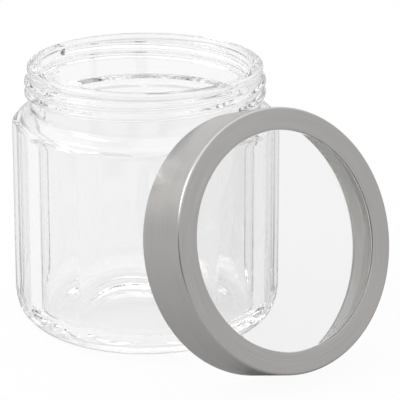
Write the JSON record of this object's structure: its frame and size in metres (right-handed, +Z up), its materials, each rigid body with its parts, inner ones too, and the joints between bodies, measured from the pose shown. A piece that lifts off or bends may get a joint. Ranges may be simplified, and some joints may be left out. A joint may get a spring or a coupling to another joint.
{
  "type": "candle jar",
  "caption": "Faceted clear glass candle jar with screw thread, open, its brushed steel lid with clear window leaning on it.",
  "frame": {"origin": "jar axis on the plane the jar stands on", "axes": "+Z up along the jar axis, the lid stands in front of the jar towards -Y, +X to the right seen from the front"},
  "size_m": [0.1229, 0.1748, 0.1233],
  "materials": {
    "glass_jar": "clear pressed soda-lime glass",
    "lid_band": "brushed round the ring",
    "lid_window": "clear and polished",
    "lid_insert": "moulded, semi-gloss",
    "lid_gasket": "soft matt"
  },
  "bodies": {
    "jar": {"glass_jar": "glass_jar"},
    "seal": {"lid_gasket": "lid_gasket"},
    "lid": {"lid_band": "lid_band", "lid_window": "lid_window", "lid_insert": "lid_insert"}
  },
  "joints": [
    {"name": "lid_lift", "type": "slide", "parent": "jar", "child": "seal", "axis": [0, -0.5, 0.866], "range_m": [0, 0.16]},
    {"name": "lid_turn", "type": "hinge", "parent": "seal", "child": "lid", "pos_m": [0.0039, -0.07154, 0.05532], "axis": [0, -0.95, 0.3123], "continuous": true}
  ]
}
